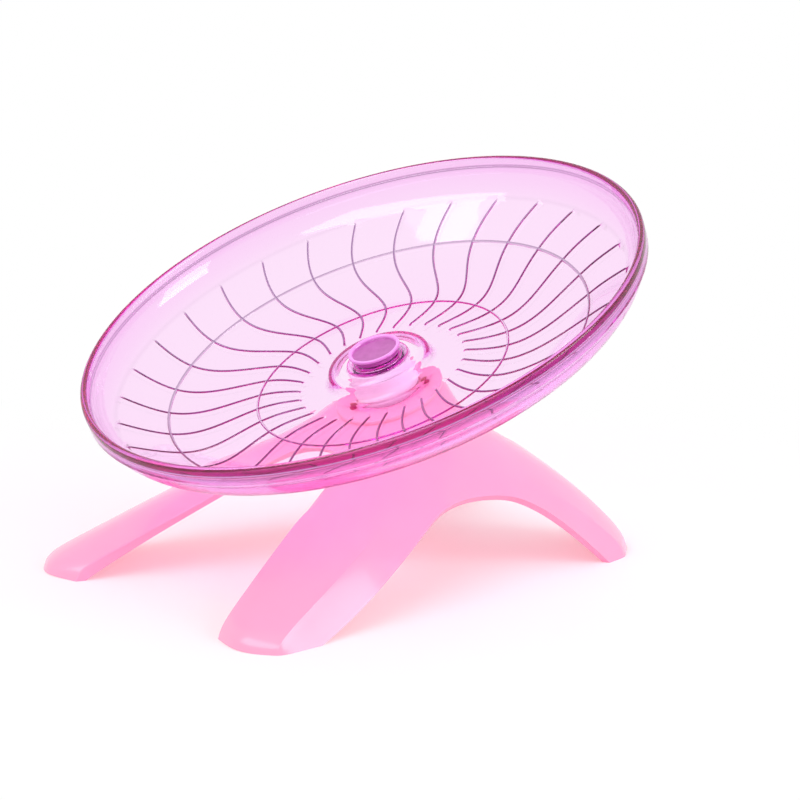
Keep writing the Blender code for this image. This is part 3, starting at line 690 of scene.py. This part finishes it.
# %% Rails of the legs
STANCE, FRONT_REACH, REAR_REACH = 0.0585, 0.0991, 0.0659
SHELL_WALL = 0.0022
LEG_ROWS = 6
TOE_DROP = 0.004
FRONT_RAILS = (
    ((0.179, 0.273, 0.689), (0.256, 0.465, 0.507), (0.470, 0.717, 0.261), (0.607, 0.980, -0.050)),
    ((0.214, 0.243, 0.729), (0.231, 0.435, 0.570), (0.444, 0.717, 0.301), (0.595, 0.950, 0.079)),
    ((0.376, 0.233, 0.739), (0.496, 0.374, 0.624), (0.684, 0.697, 0.356), (0.812, 0.985, 0.087)),
    ((0.496, 0.173, 0.673), (0.769, 0.374, 0.495), (0.846, 0.657, 0.273), (0.974, 0.919, 0.071)),
    ((0.735, 0.173, 0.505), (0.889, 0.384, 0.356), (0.957, 0.596, 0.059), (1.026, 0.879, -0.059)),
)
REAR_RAILS = (
    ((0.701, -0.150, 0.491), (0.786, -0.332, 0.446), (0.880, -0.469, 0.238), (0.957, -0.697, -0.059)),
    ((0.521, -0.074, 0.673), (0.615, -0.256, 0.614), (0.786, -0.514, 0.416), (0.906, -0.765, 0.079)),
    ((0.393, -0.226, 0.812), (0.462, -0.408, 0.703), (0.650, -0.697, 0.495), (0.761, -0.924, 0.099)),
    ((0.205, -0.302, 0.871), (0.222, -0.469, 0.762), (0.410, -0.757, 0.485), (0.564, -0.985, 0.079)),
    ((0.137, -0.393, 0.802), (0.171, -0.545, 0.653), (0.350, -0.833, 0.386), (0.538, -1.015, -0.059)),
)
FRONT_ARCH = ((0.000, 0.253, 0.713), (0.000, 0.223, 0.762))
SIDE_ARCH = ((0.675, 0.031, 0.515), (0.487, 0.062, 0.689))
BACK_ARCH = ((0.000, -0.393, 0.822), (0.000, -0.317, 0.891))
TOES = (0.01, 0.025, 0.035, 0.012, 0.0)


def stand_point(shares):
    """A point given in shares of the stand's half width, its reach and the hub's height."""
    across, along, up = shares
    reach = FRONT_REACH if along > 0 else REAR_REACH
    return Vector((across * STANCE, HUB_Y - along * reach, up * HUB_HEIGHT))


def leg_rows(rails):
    """Rows of points down one leg, one on each rail, and a last row below the floor."""
    curves = [interpolate_bezier(*[stand_point(p) for p in rail], LEG_ROWS + 1) for rail in rails]
    rows = [[curve[i] for curve in curves] for i in range(LEG_ROWS + 1)]
    toe = []
    for point, previous, share in zip(rows[-1], rows[-2], TOES):
        run = (point - previous).normalized()
        toe.append(point + Vector((run.x * share * STANCE, run.y * share * STANCE, -TOE_DROP)))
    return rows + [toe]


front_leg, rear_leg = leg_rows(FRONT_RAILS), leg_rows(REAR_RAILS)
print("rows down each leg:", len(front_leg))

# %% [markdown]
# ## The stand's cage
# Strips of the cage are open chains of edges, and bridge_loops joins two chains of equal length.
# The crown starts from a half ring that lies square to the leaning axis. That ring and the two
# creases down each leg are marked as sharp edges of the cage, so the subdivision keeps them crisp.

# %% Cage of the stand
PLATFORM_RADIUS, CROWN_SINK, CROWN_HOLE = 0.0175, 0.0014, 0.006
CROWN_STEPS = 8
LEG_CREASE, RING_CREASE = 0.85, 1.0
MERGE, SAME_PLACE = 0.00001, 0.00002


def crown_ring(radius):
    """Half ring square to the hub's axis, from the front to the back."""
    centre = Vector((0.0, HUB_Y + CROWN_SINK * math.sin(TILT),
                     HUB_HEIGHT - CROWN_SINK * math.cos(TILT)))
    lean = Vector((0.0, math.cos(TILT), math.sin(TILT)))
    angles = [math.pi * i / CROWN_STEPS for i in range(CROWN_STEPS + 1)]
    return [centre + Vector((radius * math.sin(a), 0.0, 0.0)) - lean * radius * math.cos(a)
            for a in angles]


def strip(shape, first, second):
    """Bridge two open chains of points."""
    chains = []
    for points in (first, second):
        verts = [shape.verts.new(point) for point in points]
        chains += [shape.edges.new(pair) for pair in zip(verts, verts[1:])]
    bmesh.ops.bridge_loops(shape, edges=chains)


def lies_on(edge, points):
    """Whether both ends of an edge are among the points."""
    return all(any((vert.co - point).length < SAME_PLACE for point in points)
               for vert in edge.verts)


def stand_cage():
    shape = bmesh.new()
    front_edge, front_crease = [stand_point(p) for p in FRONT_ARCH]
    side_edge, side_crease = [stand_point(p) for p in SIDE_ARCH]
    back_edge, back_crease = [stand_point(p) for p in BACK_ARCH]
    ring = crown_ring(PLATFORM_RADIUS)
    shoulder = [front_crease, *front_leg[0][1:4], side_crease, *rear_leg[0][1:4], back_crease]
    strip(shape, crown_ring(CROWN_HOLE), ring)
    strip(shape, ring, shoulder)
    strip(shape, [front_crease, front_leg[0][1]], [front_edge, front_leg[0][0]])
    strip(shape, [front_leg[0][3], side_crease, rear_leg[0][1]],
          [front_leg[0][4], side_edge, rear_leg[0][0]])
    strip(shape, [rear_leg[0][3], back_crease], [rear_leg[0][4], back_edge])
    for leg in (front_leg, rear_leg):
        for row, following in zip(leg, leg[1:]):
            strip(shape, row, following)
    bmesh.ops.remove_doubles(shape, verts=shape.verts, dist=MERGE)
    sharpness = shape.edges.layers.float.new("crease_edge")
    creases = [row[rail] for leg in (front_leg, rear_leg) for row in leg[2:] for rail in (1, 3)]
    for points, share in ((creases, LEG_CREASE), (ring, RING_CREASE)):
        for edge in shape.edges:
            if lies_on(edge, points):
                edge[sharpness] = share
    bmesh.ops.mirror(shape, geom=list(shape.verts) + list(shape.edges) + list(shape.faces),
                     axis="X", merge_dist=MERGE)
    bmesh.ops.remove_doubles(shape, verts=shape.verts, dist=MERGE)
    bmesh.ops.recalc_face_normals(shape, faces=shape.faces)
    if sum(face.normal.z for face in shape.faces) < 0:
        bmesh.ops.reverse_faces(shape, faces=shape.faces)
    return shape


cage = stand_cage()
print("the stand's cage has", len(cage.faces), "faces")

# %% [markdown]
# ## The stand's skin
# Three modifiers in a row turn the cage into a moulding: one rounds it, one gives it a wall, and
# one softens the edge of that wall. A plane at floor level then cuts the feet, and the cut is
# closed, which gives each foot its flat sole.

# %% Skin of the stand
def with_modifiers(shape, modifiers):
    """The mesh that a bmesh becomes under a list of (type, settings), as a new bmesh."""
    draft = linked("draft", shape)
    for kind, settings in modifiers:
        modifier = draft.modifiers.new(kind.lower(), kind)
        for name, value in settings.items():
            setattr(modifier, name, value)
    bpy.context.view_layer.update()
    evaluated = draft.evaluated_get(bpy.context.evaluated_depsgraph_get())
    result = bmesh.new()
    result.from_mesh(evaluated.to_mesh())
    bpy.data.objects.remove(draft, do_unlink=True)
    return result


def stand_skin(cage):
    shape = with_modifiers(cage, [
        ("SUBSURF", {"levels": 3, "render_levels": 3}),
        ("SOLIDIFY", {"thickness": SHELL_WALL, "offset": -1.0}),
        ("BEVEL", {"width": 0.0004, "segments": 2, "limit_method": "ANGLE",
                   "angle_limit": math.radians(55.0)}),
    ])
    geom = list(shape.verts) + list(shape.edges) + list(shape.faces)
    cut = bmesh.ops.bisect_plane(shape, geom=geom, plane_co=(0, 0, 0), plane_no=(0, 0, 1),
                                 clear_inner=True)
    rim = [item for item in cut["geom_cut"] if isinstance(item, bmesh.types.BMEdge)]
    bmesh.ops.holes_fill(shape, edges=rim, sides=0)
    return shape


stand = finished("pink_stand_shell", stand_skin(cage), pink_finish, "stand", 16.0)
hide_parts("base_shell")

# %% [markdown]
# ## Pins of painted shade
# Two small dark red dots show through the dish beside the collar, like the shade in two small holes.
# What they are on the real object is guessed: here each is a short round pin with a rounded head, and
# its dark crimson is painted shade.

# %% Pins of painted shade
PIN_RADIUS, PIN_RISE, PIN_ROOT = 0.0011, 0.0018, 0.0012
PINS = {"shade_pin_right": (0.0100, 0.0075), "shade_pin_left": (-0.0033, -0.0125)}
PIN_ROUND, PIN_STEPS = 0.0005, 32


def shade_pin(place):
    """A small pin with a round head, dark with painted shade, at a place (x, y) across the leaning
    axis.
    """
    top, bottom = PIN_RISE - PLATFORM_DROP, -PIN_ROOT - PLATFORM_DROP
    outline = [(0.0, top), (PIN_RADIUS, top), (PIN_RADIUS, bottom), (0.0, bottom)]
    shape = spun(rounded(outline, PIN_ROUND), PIN_STEPS)
    bmesh.ops.translate(shape, vec=(*place, 0.0), verts=shape.verts)
    return tilted(shape)


for name, place in PINS.items():
    finished(name, shade_pin(place), crimson_finish, "stand")

# %% [markdown]
# ## Platform and collar
# A flat round platform closes the crown and holds the white collar in a socket. Its edge tapers
# inwards below, so that it stays hidden inside the crown. The collar holds the bearing.

# %% Platform and collar
SMALL_STEPS = 96
PLATFORM_EDGE, PLATFORM_TAPER, PLATFORM_UNDER = 0.0012, (0.0018, 0.003), 0.0033
PLATFORM_ROUND, COLLAR_ROUND = 0.0006, 0.0004
SEAT_RADIUS, SEAT_DEPTH = 0.0129, 0.0057
SOCKET_DEPTH, SOCKET_GAP = 0.002, 0.0007
COLLAR_RADIUS, COLLAR_SPIGOT, COLLAR_BORE = 0.0101, 0.0087, 0.0069
COLLAR_TAIL, COLLAR_LEDGE = 0.0074, 0.0013


def platform():
    top = -PLATFORM_DROP
    socket = COLLAR_RADIUS + SOCKET_GAP
    socket_floor = top - SOCKET_DEPTH
    seat_bottom = top - SEAT_DEPTH
    spigot = COLLAR_SPIGOT + SEAT_GAP
    taper, taper_drop = PLATFORM_TAPER
    outline = [(socket, socket_floor), (socket, top), (PLATFORM_RADIUS, top),
               (PLATFORM_RADIUS, top - PLATFORM_EDGE), (PLATFORM_RADIUS - taper, top - taper_drop),
               (SEAT_RADIUS, top - PLATFORM_UNDER), (SEAT_RADIUS, seat_bottom),
               (spigot, seat_bottom), (spigot, socket_floor)]
    return tilted(spun(rounded(outline, PLATFORM_ROUND), SMALL_STEPS, closed=True))


def collar():
    foot = -PLATFORM_DROP - SOCKET_DEPTH + SEAT_GAP
    tail = -PLATFORM_DROP - SEAT_DEPTH + SEAT_GAP
    seat = BEARING_RADIUS + SEAT_GAP
    ledge = -BEARING_TOP - SEAT_GAP
    under_ledge = ledge - COLLAR_LEDGE
    outline = [(seat, 0.0), (seat, BEARING_TOP), (COLLAR_RADIUS, BEARING_TOP),
               (COLLAR_RADIUS, foot), (COLLAR_SPIGOT, foot), (COLLAR_SPIGOT, tail),
               (COLLAR_TAIL, tail), (COLLAR_TAIL, under_ledge), (COLLAR_BORE, under_ledge),
               (COLLAR_BORE, ledge), (seat, ledge)]
    return tilted(spun(rounded(outline, COLLAR_ROUND), SMALL_STEPS, closed=True))


seat_piece = finished("stand_platform", platform(), pink_finish, "stand")
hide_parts("base_shell")
collar_piece = finished("white_bearing_collar", collar(), white_finish, "stand")
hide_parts("bearing_collar")

# %% [markdown]
# ## Cap
# The magenta cap clamps the dish on the bearing's inner ring. It is one turned shape from the
# hollow in its top, over the thin flange and the plug in the boss, down to the spindle, which is
# bored from below for the screw.

# %% Cap
CAP_RADIUS, CAP_HEIGHT, CAP_HOLLOW = 0.0083, 0.0027, 0.001
CAP_RING_FOOT, CAP_RING_TOP, CAP_FLANGE = 0.0015, 0.0010, 0.0009
CAP_NECK, CAP_UNDERCUT = 0.0008, 0.0012
SPINDLE_RADIUS, SPINDLE_END = 0.0022, -0.0024
PILOT_RADIUS, PILOT_DEPTH, PILOT_POINT = 0.0013, 0.002, 0.0003
CAP_ROUND = 0.0004


def cap():
    bottom = BOSS_HEIGHT + SEAT_GAP
    top = bottom + CAP_HEIGHT
    plug, plug_bottom = POCKET_RADIUS - SEAT_GAP, POCKET_FLOOR + SEAT_GAP
    neck = CAP_RADIUS - CAP_NECK
    outline = [(0.0, top - CAP_HOLLOW), (CAP_RADIUS - CAP_RING_FOOT, top - CAP_HOLLOW),
               (CAP_RADIUS - CAP_RING_TOP, top), (CAP_RADIUS, top), (CAP_RADIUS, top - CAP_FLANGE),
               (neck, top - CAP_UNDERCUT), (neck, bottom), (plug, bottom), (plug, plug_bottom),
               (SPINDLE_RADIUS, plug_bottom), (SPINDLE_RADIUS, SPINDLE_END),
               (PILOT_RADIUS, SPINDLE_END), (PILOT_RADIUS, PILOT_DEPTH),
               (0.0, PILOT_DEPTH + PILOT_POINT)]
    return tilted(spun(rounded(outline, CAP_ROUND), SMALL_STEPS))


cap_piece = finished("magenta_hub_cap", cap(), magenta_finish, "running_disc")
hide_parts("hub_cap")

# %% [markdown]
# ## Bearing and screw
# The bearing, the washer and the screw sit inside the collar. Their shapes are right as they
# are, so they only get their metal finishes.

# %% Metal parts
METALS = {
    "bearing_inner_ring": steel_finish,
    "bearing_outer_ring": steel_finish,
    "bearing_cage": brass_finish,
    "spindle_washer": zinc_finish,
    "spindle_screw": zinc_finish,
}
METALS.update({f"bearing_ball_{i}": steel_finish for i in range(1, 8)})
for name, material in METALS.items():
    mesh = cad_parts[name].data
    mesh.materials.clear()
    mesh.materials.append(material)
print("finished", len(METALS), "metal parts")

# %% [markdown]
# ## Floor, backdrop and light
# The photograph was taken on white. The floor near the object is ordinary white paint, so that it
# catches the soft pink shadow, and further out it turns to plain white. The world behind is plain
# white to the camera and a little dimmer as a light.

# %% Floor and world
FADE_RADII, NEAR_WHITE = (0.11, 0.25), 0.3
FLOOR_HALF = 3.0
WORLD_LIGHT, WORLD_SEEN = 0.70, 1.0


def floor_finish():
    finish = Finish(bpy.data.materials.new("floor_finish"))
    fade = finish.rise(finish.length(finish.place()), *FADE_RADII, NEAR_WHITE)
    mottle = finish.noise(12.0)
    paint = finish.node("ShaderNodeBsdfPrincipled", values={
        "Base Color": finish.blend(mottle, colour(0.94, 0.94, 0.94), colour(0.96, 0.96, 0.96)),
        "Roughness": 0.6,
        "Specular IOR Level": 0.2,
    })
    white_values = {"Color": colour(1.0, 1.0, 1.0), "Strength": 1.0}
    white = finish.node("ShaderNodeEmission", values=white_values)
    return finish.finish_with(finish.mix(finish.in_sight() * fade, paint, white))


shape = bmesh.new()
bmesh.ops.create_grid(shape, x_segments=8, y_segments=8, size=FLOOR_HALF)
floor = linked("studio_floor", shape)
floor.data.materials.append(floor_finish())

bpy.context.scene.world = bpy.data.worlds.new("studio")
sky = Finish(bpy.context.scene.world)
fill, backdrop = [
    sky.node("ShaderNodeBackground", values={"Color": colour(1.0, 1.0, 1.0), "Strength": strength})
    for strength in (WORLD_LIGHT, WORLD_SEEN)]
sky.finish_with(sky.mix(sky.in_sight(), fill, backdrop), target="ShaderNodeOutputWorld")
print("floor and world are ready")

# %% [markdown]
# ## Soft boxes
# A wide soft box high above the low side of the dish gives the long highlights, and a smaller
# one on the far right lights the slanted flank of the near leg.

# %% Soft boxes
BOX_AIM = Vector((0.0, 0.0, 0.06))


def soft_box(name, place, size, power):
    lamp = bpy.data.lights.new(name, "AREA")
    lamp.shape = "RECTANGLE"
    lamp.size, lamp.size_y = size
    lamp.energy = power
    box = bpy.data.objects.new(name, lamp)
    away = Vector(place) - BOX_AIM
    box.matrix_world = Matrix.Translation(place) @ away.to_track_quat("Z", "Y").to_matrix().to_4x4()
    bpy.context.scene.collection.objects.link(box)
    print(name, "stands", round(away.length, 2), "m away")


soft_box("key_box", place=(-0.06, -0.70, 0.90), size=(1.2, 0.5), power=5.2)
soft_box("right_box", place=(0.82, 0.42, 0.55), size=(0.5, 0.5), power=3.4)
